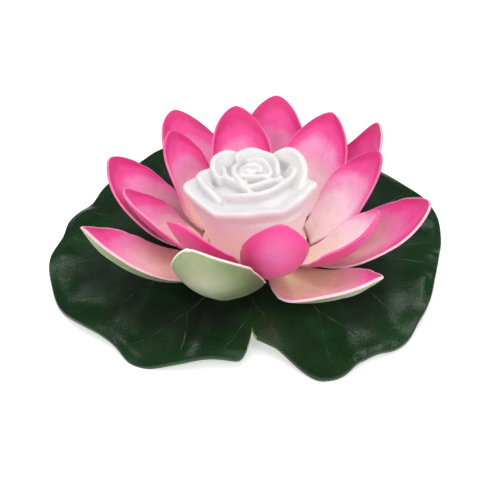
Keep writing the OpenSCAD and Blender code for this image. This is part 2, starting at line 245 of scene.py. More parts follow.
class Finish:
    """One material, with short calls for the nodes that its colour and relief are made of."""

    def __init__(self, name):
        self.material = bpy.data.materials.new(name)
        self.material.use_nodes = True
        self.tree = self.material.node_tree
        self.shader = self.tree.nodes["Principled BSDF"]

    def put(self, socket, value):
        """Sets a socket of the shader by its full name, to a value or to a node's output."""
        self.join(value, self.shader.inputs[socket])

    def join(self, value, socket):
        """Links a node's output to a socket, or sets the socket to a plain value."""
        if isinstance(value, bpy.types.NodeSocket):
            self.tree.links.new(value, socket)
        else:
            socket.default_value = value

    def node(self, kind, output, inputs=(), **settings):
        """Makes a node with the given inputs and settings, and returns one of its outputs."""
        made = self.tree.nodes.new(kind)
        for key, value in settings.items():
            setattr(made, key, value)
        for key, value in dict(inputs).items():
            self.join(value, made.inputs[key])
        return made.outputs[output]

    def position(self):
        """Where a point is on the resting object, in metres."""
        return self.node("ShaderNodeTexCoord", "Object")

    def value(self, name):
        """A value stored at the mesh's points."""
        return self.node("ShaderNodeAttribute", "Fac", attribute_name=name)

    def noise(self, size, detail=3.0, rough=0.5, stretch=None):
        """Soft noise whose features are about size millimetres across."""
        vector = self.position()
        if stretch:
            vector = self.node("ShaderNodeMapping", "Vector", {"Vector": vector, "Scale": stretch})
        inputs = {"Vector": vector, "Scale": 1 / (size * MM), "Detail": detail, "Roughness": rough}
        return self.node("ShaderNodeTexNoise", "Fac", inputs)

    def cells(self, size, feature="F1"):
        """Rounded cells about size millimetres across."""
        inputs = {"Vector": self.position(), "Scale": 1 / (size * MM)}
        return self.node("ShaderNodeTexVoronoi", "Distance", inputs, feature=feature)

    def math(self, operation, a, b=0.0, c=0.0):
        """One step of arithmetic."""
        return self.node("ShaderNodeMath", 0, {0: a, 1: b, 2: c}, operation=operation)

    def fade(self, value, low, high, to_low=0.0, to_high=1.0):
        """Turns value from low..high into to_low..to_high, smoothly and within those limits."""
        inputs = {"Value": value, "From Min": low, "From Max": high}
        inputs.update({"To Min": to_low, "To Max": to_high})
        return self.node("ShaderNodeMapRange", 0, inputs, interpolation_type="SMOOTHSTEP")

    def ramp(self, value, stops):
        """A colour from a value, through stops of (position, screen code)."""
        made = self.tree.nodes.new("ShaderNodeValToRGB")
        made.color_ramp.interpolation = "EASE"
        marks = made.color_ramp.elements
        while len(marks) < len(stops):
            marks.new(0.5)
        for mark, (position, code) in zip(marks, stops):
            mark.position = position
            mark.color = srgb(code)
        self.join(value, made.inputs["Fac"])
        return made.outputs["Color"]

    def mix(self, share, a, b, blend="MIX"):
        """Colour a with the given share of colour b laid over it."""
        made = self.tree.nodes.new("ShaderNodeMix")
        made.data_type = "RGBA"
        made.blend_type = blend
        self.join(share, made.inputs[0])
        self.join(a, made.inputs[6])
        self.join(b, made.inputs[7])
        return made.outputs[2]

    def relief(self, height, depth, strength=1.0):
        """Bump of the given depth in millimetres, over what the shader's normal has already."""
        inputs = {"Height": height, "Distance": depth * MM, "Strength": strength}
        normal = self.shader.inputs["Normal"]
        if normal.is_linked:
            inputs["Normal"] = normal.links[0].from_socket
        self.put("Normal", self.node("ShaderNodeBump", "Normal", inputs))


# Colours of the petals' faces and cut edges, from root to tip.
CREAM_FRONT = (
    (0.0, "fbdfb8"), (0.26, "fad4b9"), (0.48, "f5b8c0"), (0.66, "f388bd"),
    (0.84, "ee4a9c"), (1.0, "d8297a"),
)
FAIR_FRONT = (
    (0.0, "f9e0cf"), (0.14, "fbe6e6"), (0.45, "f9dbe7"), (0.66, "f5a2cc"),
    (0.84, "ee4f9f"), (1.0, "d8297a"),
)
GREEN_BACK = ((0.0, "37461f"), (0.4, "4c5e30"), (0.75, "6f8052"), (1.0, "8d986c"))
PINK_BACK = ((0.0, "cf7c98"), (0.35, "cc5a8e"), (0.7, "dc4d92"), (1.0, "ea3f8e"))
CUT_EDGE = ((0.0, "f3bcc6"), (0.5, "f07bb2"), (1.0, "e23f8c"))


def petal_front(f, along, across, drift):
    """The sprayed face: pink at its tip and sides, and cream or nearly white lower down."""
    side = f.math("POWER", f.math("ABSOLUTE", across), 3.0)
    blush = f.math("MULTIPLY_ADD", side, 0.3, f.math("ADD", along, drift))
    fair = f.value("fair")
    # The petal's own shift of its pink counts less towards the tip, unless the petal is fair.
    loss = f.math("MULTIPLY", f.fade(along, 0.35, 0.78), f.math("SUBTRACT", 1.0, fair))
    shift = f.math("MULTIPLY", f.value("pink"), f.math("SUBTRACT", 1.0, loss))
    blush = f.math("ADD", blush, shift)
    return f.mix(fair, f.ramp(blush, CREAM_FRONT), f.ramp(blush, FAIR_FRONT))


def petal_back(f, along, across, drift, stops, painted_sheen_code):
    """The back, with a painted sheen in another colour up the middle of its upper half."""
    middle = f.fade(f.math("ABSOLUTE", across), 0.1, 0.85, 1.0, 0.0)
    middle = f.math("MULTIPLY", middle, f.fade(along, 0.7, 0.97, 0.9, 0.0))
    middle = f.math("MULTIPLY", middle, f.fade(along, 0.45, 0.85))
    return f.mix(middle, f.ramp(f.math("ADD", along, drift), stops), srgb(painted_sheen_code))


def petal_finish(name, back_stops, back_painted_sheen):
    """Airbrushed foam: cream at the root to hot pink at the tip, with a lighter cut edge."""
    f = Finish(name)
    along, across = f.value("along"), f.value("across")
    drift = f.math("MULTIPLY_ADD", f.noise(9, detail=2), 0.16, -0.08)
    front = petal_front(f, along, across, drift)
    back = petal_back(f, along, across, drift, back_stops, back_painted_sheen)
    skin = f.mix(f.fade(f.value("face"), -0.2, 0.2), back, front)
    cut_edge = f.mix(f.value("pale"), f.ramp(along, CUT_EDGE), srgb("f8efe9"))
    skin = f.mix(f.value("rim"), skin, cut_edge)
    mottle = f.noise(1.6, detail=4)
    skin = f.mix(f.fade(mottle, 0.35, 0.75, 0.0, 0.14), skin, srgb("ffffff"), "SOFT_LIGHT")
    blotch = f.fade(f.noise(4, detail=4, rough=0.6), 0.45, 0.7, 0.0, 0.16)
    f.put("Base Color", f.mix(blotch, skin, srgb("d79ab8"), "MULTIPLY"))
    f.put("Roughness", f.fade(mottle, 0.3, 0.7, 0.46, 0.62))
    f.put("Subsurface Weight", 0.3)
    f.put("Subsurface Radius", (0.004, 0.002, 0.002))
    f.put("Subsurface Scale", 0.5)
    f.put("Sheen Weight", 0.12)
    f.put("Sheen Roughness", 0.4)
    f.relief(f.noise(5), 0.12)
    f.relief(f.noise(0.5, detail=2), 0.03)
    return f.material


# Colours of the leaf's upper face, from its dark patches to its green ones.
LEAF_PATCHES = ((0.25, "0b0f0a"), (0.42, "0c1f0f"), (0.58, "123013"), (0.8, "1a4020"))


def leaf_veins(f, out):
    """Thin wandering veins, which run out from the middle and fork half way."""
    wander = f.math("MULTIPLY_ADD", f.noise(14, detail=2), 3.0, -1.5)
    wander = f.math("MULTIPLY", wander, f.fade(out, 0.1, 0.4))
    main = f.math("ABSOLUTE", f.math("ADD", f.value("off"), wander))
    spread = f.math("MULTIPLY", f.math("MAXIMUM", f.math("SUBTRACT", out, 0.5), 0.0), 22.0)
    fork = f.math("ABSOLUTE", f.math("SUBTRACT", main, spread))
    vein = f.fade(fork, 0.08, 0.38, 1.0, 0.0)
    return f.math("MULTIPLY", vein, f.fade(out, 0.8, 0.95, 1.0, 0.0))


def leaf_finish():
    """Dark satin foam with raised veins and darker patches, duller away from its edge."""
    f = Finish("leaf_foam")
    out = f.value("out")
    vein = leaf_veins(f, out)
    patch = f.noise(26, detail=4, rough=0.6)
    over = f.mix(f.fade(out, 0.55, 1.0, 0.0, 0.35), f.ramp(patch, LEAF_PATCHES), srgb("194020"))
    under = f.mix(f.fade(patch, 0.3, 0.7), srgb("2f4a2c"), srgb("3d5a38"))
    colour = f.mix(f.fade(f.value("face"), -0.2, 0.2), under, over)
    tint = f.math("MULTIPLY", vein, f.fade(f.noise(9), 0.4, 0.65, 0.0, 0.42))
    colour = f.mix(tint, colour, srgb("5c7c50"))
    f.put("Base Color", f.mix(f.value("apex"), colour, srgb("86a05a")))
    grain = f.noise(0.7, detail=3, rough=0.65)
    uneven = f.math("MULTIPLY_ADD", patch, 0.5, f.math("SUBTRACT", out, 0.25))
    dull = f.fade(uneven, 0.62, 0.86, 0.42, 0.0)
    f.put("Roughness", f.math("ADD", dull, f.fade(grain, 0.35, 0.65, 0.18, 0.32)))
    f.put("Specular IOR Level", 0.38)
    f.relief(vein, 0.12)
    f.relief(f.noise(9), 0.34)
    f.relief(grain, 0.09)
    return f.material


# Heights between which the rose's painted pink bounce light and its painted glow fade out to plain
# white vinyl, in metres as the shader has them.
PAINTED_BOUNCE_FADE = (0.022, 0.041)
PAINTED_GLOW_FADE = (0.02, 0.043)


def rose_finish():
    """Soft white translucent vinyl, with painted pink bounce light and a painted glow towards its
    neck.
    """
    f = Finish("rose_vinyl_skin")
    white = f.mix(f.fade(f.noise(8), 0.3, 0.7), srgb("dfdddd"), srgb("d9d7d8"))
    height = f.node("ShaderNodeSeparateXYZ", "Z", {0: f.position()})
    # Painted pink bounce light from the petals on the bowl's lower part.
    f.put("Base Color", f.mix(f.fade(height, *PAINTED_BOUNCE_FADE, 1.0, 0.0), white, srgb("e9d5d0")))
    f.put("Roughness", f.fade(f.noise(1.2), 0.3, 0.7, 0.34, 0.46))
    f.put("Subsurface Weight", 0.5)
    f.put("Subsurface Radius", (0.003, 0.0026, 0.0026))
    f.put("Subsurface Scale", 0.8)
    # Painted glow that brightens the bowl's lower part.
    f.put("Emission Color", f.mix(f.fade(height, *PAINTED_GLOW_FADE), srgb("ffdcd8"), srgb("000000")))
    f.put("Emission Strength", 0.2)
    f.relief(f.noise(3, detail=2), 0.06)
    f.relief(f.noise(0.4, detail=2), 0.012)
    return f.material


def foam_finish(name, light, dark, cell=1.1):
    """Closed-cell foam with its small beads."""
    f = Finish(name)
    beads = f.cells(cell)
    f.put("Base Color", f.mix(f.fade(beads, 0.1, 0.75), srgb(light), srgb(dark)))
    f.put("Roughness", f.fade(f.noise(2.0), 0.3, 0.7, 0.55, 0.75))
    f.put("Subsurface Weight", 0.1)
    f.put("Subsurface Radius", (0.003, 0.0025, 0.0025))
    f.put("Subsurface Scale", 0.4)
    f.relief(beads, -0.14)
    f.relief(f.noise(0.3), 0.03)
    return f.material


def plastic_finish(name, light, dark, rough=0.4):
    """Moulded plastic with a fine spark-eroded grain and faint flow marks."""
    f = Finish(name)
    flow = f.noise(11, detail=2, stretch=(1.0, 1.0, 3.0))
    f.put("Base Color", f.mix(f.fade(flow, 0.35, 0.65), srgb(light), srgb(dark)))
    f.put("Roughness", f.fade(f.noise(0.9), 0.3, 0.7, rough - 0.06, rough + 0.08))
    f.relief(f.noise(0.35, detail=2), 0.02)
    f.relief(flow, 0.05)
    return f.material


def rubber_finish(name, light, dark):
    """Matt rubber with talc in its grain."""
    f = Finish(name)
    dust = f.noise(0.8, detail=4, rough=0.6)
    f.put("Base Color", f.mix(f.fade(dust, 0.45, 0.75), srgb(dark), srgb(light)))
    f.put("Roughness", f.fade(dust, 0.3, 0.7, 0.6, 0.85))
    f.relief(dust, 0.03)
    return f.material


def metal_finish(name, light, dark, rough=0.28):
    """Metal with fine drawn lines and a few dull spots."""
    f = Finish(name)
    f.put("Metallic", 1.0)
    lines = f.noise(0.5, stretch=(0.15, 1.0, 1.0))
    f.put("Base Color", f.mix(f.fade(f.noise(2.5), 0.4, 0.7), srgb(light), srgb(dark)))
    f.put("Roughness", f.fade(lines, 0.3, 0.7, rough - 0.08, rough + 0.12))
    f.relief(lines, 0.01)
    return f.material


def board_finish():
    """Green solder mask over copper tracks."""
    f = Finish("board_mask")
    tracks = f.fade(f.cells(3.0, "DISTANCE_TO_EDGE"), 0.04, 0.09, 1.0, 0.0)
    mask = f.mix(f.fade(f.noise(4.0), 0.3, 0.7), srgb("14502c"), srgb("1b6236"))
    f.put("Base Color", f.mix(tracks, mask, srgb("2f8a4c")))
    f.put("Roughness", f.fade(f.noise(1.0), 0.3, 0.7, 0.25, 0.35))
    f.relief(tracks, 0.03)
    return f.material


def lens_finish():
    """Clear cast epoxy, a little cloudy in patches."""
    f = Finish("led_epoxy")
    haze = f.fade(f.noise(1.5), 0.35, 0.7)
    f.put("Base Color", f.mix(haze, srgb("f4fbff"), srgb("dfeef4")))
    f.put("Roughness", f.fade(haze, 0.0, 1.0, 0.04, 0.12))
    f.put("Transmission Weight", 0.85)
    f.relief(haze, 0.01)
    return f.material


# ---- camera, lights and floor ----

# The camera looks down at the flower from the front: where it aims and how far off it is, in
# millimetres, how far it is raised, in degrees, and its lens and sensor, in millimetres.
VIEW_AIM = (0, -7, 3)
VIEW_DISTANCE = 400
VIEW_TILT = 35
LENS = 62.8
SENSOR_W = 36
CLIP_START = 10

# Round soft boxes: (name, place, what it aims at, diameter, power), in metres and watts.
LIGHTS = (
    ("top_box", (0.05, 0.1, 0.9), (0, 0, 0), 0.7, 2.6),
    ("front_box", (-0.45, -0.75, 0.55), (0, 0, 0.02), 0.5, 2.2),
    ("side_box", (0.62, -0.55, 0.5), (0, 0, 0.02), 0.35, 1.7),
    ("back_box", (0.35, 0.45, 0.82), (0.04, -0.02, 0.01), 0.1, 0.55),
    ("left_box", (-0.4, 0.42, 0.8), (-0.04, -0.02, 0.01), 0.1, 0.5),
    ("low_box", (0.12, -0.85, 0.16), (0, 0, 0.03), 0.4, 1.2),
)

# How bright the room is as light on the object, in its gloss, and as the backdrop.
ROOM_LIGHT = 0.72
ROOM_IN_GLOSS = 0.07
BACKDROP = 1.0

# How far the floor reaches to each side, in millimetres, how much it glows, and how much it
# seems to glow to the camera, so that its far end is as white as the backdrop.
FLOOR_REACH = 3000
FLOOR_GLOW = 0.36
FLOOR_SEEN = 0.46


def aim(thing, target):
    """Turns a camera or a lamp towards a point."""
    thing.rotation_euler = (target - thing.location).to_track_quat("-Z", "Y").to_euler()


def make_camera():
    camera = bpy.data.objects.new("camera", bpy.data.cameras.new("camera"))
    bpy.context.scene.collection.objects.link(camera)
    target = Vector(VIEW_AIM) * MM
    tilt = math.radians(VIEW_TILT)
    camera.location = target + VIEW_DISTANCE * MM * Vector((0, -math.cos(tilt), math.sin(tilt)))
    aim(camera, target)
    camera.data.sensor_width = SENSOR_W
    camera.data.lens = LENS
    camera.data.clip_start = CLIP_START * MM
    bpy.context.scene.camera = camera


def make_light(name, place_at, aim_at, size, power):
    light = bpy.data.lights.new(name, "AREA")
    light.shape = "DISK"
    light.size = size
    light.energy = power
    lamp = bpy.data.objects.new(name, light)
    bpy.context.scene.collection.objects.link(lamp)
    lamp.location = place_at
    aim(lamp, Vector(aim_at))


def make_world():
    """A room that is dim in the gloss, where the soft boxes count, with a white backdrop."""
    world = bpy.data.worlds.new("studio")
    bpy.context.scene.world = world
    world.use_nodes = True
    tree = world.node_tree
    room = tree.nodes["Background"]
    room.inputs["Color"].default_value = (1, 1, 1, 1)
    ray = tree.nodes.new("ShaderNodeLightPath")
    lit = tree.nodes.new("ShaderNodeMapRange")
    lit.inputs["To Min"].default_value = ROOM_LIGHT
    lit.inputs["To Max"].default_value = ROOM_IN_GLOSS
    tree.links.new(ray.outputs["Is Glossy Ray"], lit.inputs["Value"])
    seen = tree.nodes.new("ShaderNodeMapRange")
    seen.inputs["To Max"].default_value = BACKDROP
    tree.links.new(lit.outputs["Result"], seen.inputs["To Min"])
    tree.links.new(ray.outputs["Is Camera Ray"], seen.inputs["Value"])
    tree.links.new(seen.outputs["Result"], room.inputs["Strength"])


def make_floor():
    r = FLOOR_REACH
    corners = [(-r, -r, 0), (r, -r, 0), (r, r, 0), (-r, r, 0)]
    floor = make_mesh("floor", corners, [(0, 1, 2, 3)])
    f = Finish("floor_paper")
    f.put("Roughness", 0.9)
    f.put("Base Color", f.mix(f.noise(60), srgb("dedede"), srgb("dadada")))
    f.put("Specular IOR Level", 0.1)
    f.put("Emission Color", srgb("ffffff"))
    seen = f.node("ShaderNodeLightPath", "Is Camera Ray")
    f.put("Emission Strength", f.fade(seen, 0.0, 1.0, FLOOR_GLOW, FLOOR_SEEN))
    floor.data.materials.append(f.material)


def make_studio():
    make_camera()
    make_world()
    for row in LIGHTS:
        make_light(*row)
    make_floor()
    bpy.context.scene.view_settings.view_transform = "Standard"


# ---- petals ----

# The round of a cut edge, and how much thinner each face lies near it, out to a distance.
EDGE_FILLET = 0.4
EDGE_THIN = 0.2
EDGE_TAPER = 3.5

# The grid of a petal: places in from each edge, columns between them, rows from root to tip,
# and how much the rows crowd towards the tip.
EDGE_STEPS = (0.0, 0.13, 0.45, 0.9)
PETAL_MIDDLE = 22
PETAL_ROWS = 54
ROW_CROWDING = 1.3

# Where a petal is widest, as a share of its length, and how narrow its tip's end is.
PETAL_PEAK = 0.5
TIP_HALF = 0.45

# The crease up a petal's middle, its depth and half width, and the ruffle of its sides.
CREASE = 0.45
CREASE_W = 1.6
RUFFLE = 0.5

# The two waves in a petal's width: (share of the width, waves along it, shift by petal).
RIPPLES = ((0.008, 4.3, 3), (0.005, 7.1, 5))

# The pale rim on a petal's face: how far in from the edge it starts to fade, over what width,
# and how much more width on the palest petal.
RIM_START = 0.08
RIM_W = 0.3
PALE_RIM_W = 0.6


def fillet(inside):
    """How far a face stands out from where its edge's round starts, at a distance inside it."""
    return np.sqrt(EDGE_FILLET**2 - (EDGE_FILLET - np.clip(inside, 0, EDGE_FILLET)) ** 2)


def petal_profile(s):
    """Half width of a petal as a share of its widest, from the root at 0 to the tip at 1."""
    low = PETAL_ROOT + (1 - PETAL_ROOT) * np.sin(np.pi * np.minimum(s, PETAL_PEAK))
    high = np.clip(np.cos(np.pi * np.clip(s - PETAL_PEAK, 0, 0.5)), 0, 1) ** 0.6
    return np.where(s < PETAL_PEAK, low, high)


def petal_columns(half):
    """Places across a petal from edge to edge, close together at its edges."""
    steps = np.outer(np.minimum(half / 2, 1), EDGE_STEPS)
    inner = half - steps[:, -1]
    middle = np.linspace(-1, 1, PETAL_MIDDLE + 2)[1:-1] * inner[:, None]
    left = -half[:, None] + steps
    return np.hstack([left, middle, -left[:, ::-1]])


def petal_half(s, width, wave):
    """Half widths along a petal, with the slight waves of a cut edge."""
    ripple = sum(h * np.sin(2 * np.pi * (n * s + shift * wave)) for h, n, shift in RIPPLES)
    ripple = ripple * smooth(4 * s) * smooth(4 * (1 - s))
    return np.maximum(width / 2 * petal_profile(s) * (1 + ripple), TIP_HALF)


def petal_grid(row, width, root_z, side, wave):
    """One face of a petal: its points, and how far along, across and inside they are."""
    bearing, lean, rise, curl, length, cup, twist = row
    s = 1 - (1 - np.linspace(0, 1, PETAL_ROWS)) ** ROW_CROWDING
    half = petal_half(s, width, wave)
    across = petal_columns(half)
    s = np.broadcast_to(s[:, None], across.shape)
    share = across / half[:, None]
    inside = np.minimum(half[:, None] - np.abs(across), np.minimum(1 - s, s) * length)
    thin = EDGE_THIN * (1 - smooth(inside / EDGE_TAPER))
    offset = side * (PETAL_T / 2 - thin - EDGE_FILLET + fillet(inside))
    arc_r = width / 2 / math.radians(cup)
    arc = across / arc_r
    crease = CREASE * bell(across, CREASE_W) * smooth(3 * s) * smooth(4 * (1 - s))
    ruffle = RUFFLE * np.sin(2 * np.pi * (1.5 * s + wave)) * share**3 * smooth(4 * s)
    depth = arc_r * (1 - np.cos(arc)) + offset * np.cos(arc) - crease + ruffle
    bend = math.radians(curl)
    slope = bend * s
    x = length * np.sin(slope) / bend - depth * np.sin(slope)
    y = (arc_r - offset) * np.sin(arc)
    z = length * (1 - np.cos(slope)) / bend + depth * np.cos(slope)
    y, z = rotate(y, z, math.radians(twist) * smooth(2 * s))
    x, z = rotate(x, z, math.radians(rise))
    x, y = rotate(x, y, math.radians(lean))
    x, y = rotate(x + ROOT_R, y, math.radians(bearing))
    points = np.stack([x + FLOWER[0], y + FLOWER[1], z + root_z + PETAL_T / 2], -1)
    return points, s, share, inside


def make_petal(node, row, cut, spray, material):
    """A pressed foam petal: two faces, rounded over a cut edge."""
    width, root_z, wave = cut
    pale, pink, fair = spray
    sides = [petal_grid(row, width, root_z, side, wave) for side in (1, -1)]
    points, along, share, inside = (np.stack(values) for values in zip(*sides))
    rows, cols = along.shape[1:]
    count = rows * cols
    faces = grid_faces(rows, cols) + grid_faces(rows, cols, count, flip=True)
    loop = border(rows, cols)
    for a, b in zip(loop, loop[1:] + loop[:1]):
        faces.append((a, b, b + count, a + count))
    values = {
        "along": along,
        "across": share,
        "face": np.repeat([1.0, -1.0], count),
        "rim": 1 - smooth((inside - RIM_START) / (RIM_W + PALE_RIM_W * pale)),
        "pale": np.full(2 * count, pale),
        "pink": np.full(2 * count, pink),
        "fair": np.full(2 * count, fair),
    }
    petal = make_mesh(node + "_foam", points.reshape(-1, 3), faces, values)
    place(petal, "flower", node, material)


def make_petals():
    # The last colour of each finish is the painted sheen up the middle of the petals' backs.
    outer = petal_finish("outer_petal_foam", GREEN_BACK, "aca892")
    inner = petal_finish("inner_petal_foam", PINK_BACK, "cc6f9c")
    for i, (row, spray) in enumerate(zip(OUTER_PETALS, OUTER_SPRAY), 1):
        cut = (OUTER_W, OUTER_Z, 0.37 * i)
        make_petal(f"outer_petal_{i}", row, cut, spray, outer)
    for i, (row, spray) in enumerate(zip(INNER_PETALS, INNER_SPRAY), 1):
        cut = (INNER_W, INNER_Z, 0.61 * i)
        make_petal(f"inner_petal_{i}", row, cut, spray, inner)


# ---- leaf ----

# The leaf's grid: rings from its hole to near its edge, the last of them as shares of the
# way out, and the steps between bearings in the slit, in the notch and round the rest.
LEAF_RINGS = 80
LAST_RINGS = (0.99, 0.994, 0.998, 1.0)
SLIT_STEP = 0.1
NOTCH_STEP = 0.3
LEAF_STEP = 0.8

# How far to either side of the notch's bearing the slit's fine steps reach, in degrees.
SLIT_HALF = 3

# The edge rolls down: how far, over what width, and in how many waves round the leaf.
EDGE_ROLL = 1.1
ROLL_W = 6.0
ROLL_WAVES = 11

# The lowest that the leaf may come to the floor.
LOWEST = 0.05

# Where the folds begin and where the puckers are whole, in millimetres past the flat middle.
FOLD_START = 6
PUCKER_START = 8

# How many veins run out from the leaf's middle, one of them towards the notch.
VEINS = 13

# The pale end of the notch's slit: half its width in degrees, and where it starts.
APEX_HALF = 1.5
APEX_START = 0.985

# Folds that run out to the leaf's edge: (bearing, half width in degrees, height at the edge).
FOLDS = (
    (10, 6, 1.6),
    (-4, 5, -0.9),
    (-15, 6, 1.0),
    (-30, 6, 1.5),
    (-42, 5, -1.2),
    (-52, 5, 0.9),
    (-62, 6, 1.2),
    (60, 8, 0.8),
    (125, 8, 0.8),
    (160, 7, -0.8),
    (178, 7, 1.0),
    (205, 8, -0.8),
    (222, 7, 0.9),
    (240, 7, -0.7),
)

# Puckers in the leaf: (x, y) from its middle, half width and height.
PUCKERS = (
    (74, -32, 6, 2.6),
    (67, -57, 6, 1.7),
    (50, -76, 5, 1.4),
    (40, -81, 4, 1.0),
    (80, -12, 5, 1.6),
    (80, 8, 6, -1.0),
    (60, -20, 9, -1.0),
    (45, -55, 9, -0.8),
    (-72, -35, 6, 1.3),
    (-50, -72, 6, 1.3),
    (-84, -14, 5, 1.2),
    (-78, 20, 5, 1.2),
    (-60, -48, 8, -0.9),
    (-20, -74, 6, 0.9),
)


def leaf_bearings():
    """Bearings round the leaf, closer together at the notch and closest in its slit."""
    left = np.arange(-NOTCH_LEFT - 3, -SLIT_HALF, NOTCH_STEP)
    slit = np.arange(-SLIT_HALF, SLIT_HALF, SLIT_STEP)
    right = np.arange(SLIT_HALF, NOTCH_RIGHT + 4, NOTCH_STEP)
    near = np.concatenate([left, slit, right])
    wide = np.arange(near[-1] + LEAF_STEP, near[0] + 360 - LEAF_STEP / 2, LEAF_STEP)
    return NOTCH_AT + np.concatenate([near, wide])


def notch(bearing):
    """How far the notch cuts into the leaf's edge."""
    off = turn_from(bearing, NOTCH_AT)
    slit = np.where(
        off < 0,
        SLIT_LEFT[0] * np.clip(1 + off / SLIT_LEFT[1], 0, 1) ** SLIT_LEFT[2],
        SLIT_RIGHT[0] * np.clip(1 - off / SLIT_RIGHT[1], 0, 1) ** SLIT_RIGHT[2],
    )
    step = STEP_DEPTH * smooth((NOTCH_RIGHT - off) / STEP_W)
    return slit + np.where(off < 0, 0, step)


def leaf_lift(bearing, p, away, reach):
    """How far the folds, the rolled edge and the puckers lift the leaf's sheet."""
    fold = sum(h * bell(turn_from(bearing, at), w) for at, w, h in FOLDS)
    grown = smooth((away - PAD_FLAT_R - FOLD_START) / (reach - PAD_FLAT_R)) ** 1.5
    roll = EDGE_ROLL * (0.55 + 0.45 * np.sin(np.radians(ROLL_WAVES * bearing)))[:, None]
    lift = fold[:, None] * grown - roll * smooth(1 - (reach - away) / ROLL_W) ** 2
    x, y = p[:, :, 0] - PAD_CENTRE[0], p[:, :, 1] - PAD_CENTRE[1]
    pucker = sum(h * np.exp(-((x - a) ** 2 + (y - b) ** 2) / w**2) for a, b, w, h in PUCKERS)
    return lift + pucker * smooth((away - PAD_FLAT_R) / PUCKER_START)


def leaf_face(bearing, t, side):
    """One face of the leaf: t runs from the hole in its middle to its edge."""
    turn = np.radians(bearing)[:, None]
    ring = np.stack([np.cos(turn), np.sin(turn)], -1)
    hole = PAD_HOLE_R * ring + FLOWER
    edge_r = around(EDGE_R, bearing)
    uncut = edge_r[:, None, None] * ring + PAD_CENTRE
    edge = (edge_r - notch(bearing))[:, None, None] * ring + PAD_CENTRE
    p = hole * (1 - t[None, :, None]) + edge * t[None, :, None]
    away = np.linalg.norm(p - FLOWER, axis=-1)
    reach = np.linalg.norm(uncut - FLOWER, axis=-1)
    fall = smooth((away - PAD_FLAT_R) / (reach - PAD_FLAT_R))
    drop = fall * (FLOAT_T - around(EDGE_Z, bearing)[:, None])
    half = PAD_T / 2 - EDGE_FILLET + fillet(np.linalg.norm(edge - p, axis=-1))
    z = FLOAT_T + PAD_T / 2 - drop + leaf_lift(bearing, p, away, reach) + side * half
    return np.dstack([p, np.maximum(z, LOWEST)])


def leaf_faces(rows, cols):
    """The faces of both sides of the leaf, of its hole and of its edge."""
    count = rows * cols
    faces = grid_faces(rows, cols, flip=True, close_rows=True)
    faces += grid_faces(rows, cols, count, close_rows=True)
    for i in range(rows):
        a, b = i * cols, (i + 1) % rows * cols
        faces.append((a, b, b + count, a + count))
        a, b = a + cols - 1, b + cols - 1
        faces.append((b, a, a + count, b + count))
    return faces


def make_leaf():
    """The lily leaf, with the values that its finish needs at each point."""
    bearing = leaf_bearings()
    t = np.concatenate([np.linspace(0, APEX_START, LEAF_RINGS), LAST_RINGS])
    top = leaf_face(bearing, t, 1)
    low = leaf_face(bearing, t, -1)
    rows, cols = top.shape[:2]
    step = 360 / VEINS
    turn = turn_from(bearing, NOTCH_AT)
    spoke = turn / step
    off = np.radians((spoke - np.round(spoke)) * step)
    away = np.linalg.norm(top[:, :, :2] - FLOWER, axis=-1)
    apex = (np.abs(turn) < APEX_HALF)[:, None] * smooth((t - APEX_START) / 0.01)[None, :]
    values = {
        "out": np.tile(np.broadcast_to(t, (rows, cols)), (2, 1)),
        "off": np.tile(off[:, None] * away, (2, 1)),
        "face": np.repeat([1.0, -1.0], rows * cols),
        "apex": np.tile(apex, (2, 1)),
    }
    points = np.vstack([top.reshape(-1, 3), low.reshape(-1, 3)])
    leaf = make_mesh("lily_leaf", points, leaf_faces(rows, cols), values)
    place(leaf, "flower", "lily_pad", leaf_finish())


# ---- rose lamp ----

# Petals of the rose. Each lip runs through its (bearing, radius, height) points. Another program
# worked out many of the bearings and radii from the photo, and some were moved.
BOWL_PETALS = (
    ((150, 22.4, 43.5), (170, 25.6, 44.8), (189, 31, 45.8), (204, 29.6, 44.8), (220, 28.4, 43.9),
     (234, 28.8, 43.1)),
    ((234, 28.8, 43.1), (249, 26.6, 43.8), (265, 25.2, 44), (282, 24.2, 44), (298, 24.4, 43.3)),
    ((298, 24.4, 43.3), (318, 24, 44.3), (340, 25.2, 45.5), (351, 27.2, 46.4), (365, 23.6, 45)),
    ((58, 24, 44), (75, 24.4, 45.2), (95, 25, 45.4), (112, 23.6, 44.6)),
    ((106, 23.6, 44.4), (122, 23.6, 45.2), (140, 22.4, 45.4), (156, 22, 44)),
)

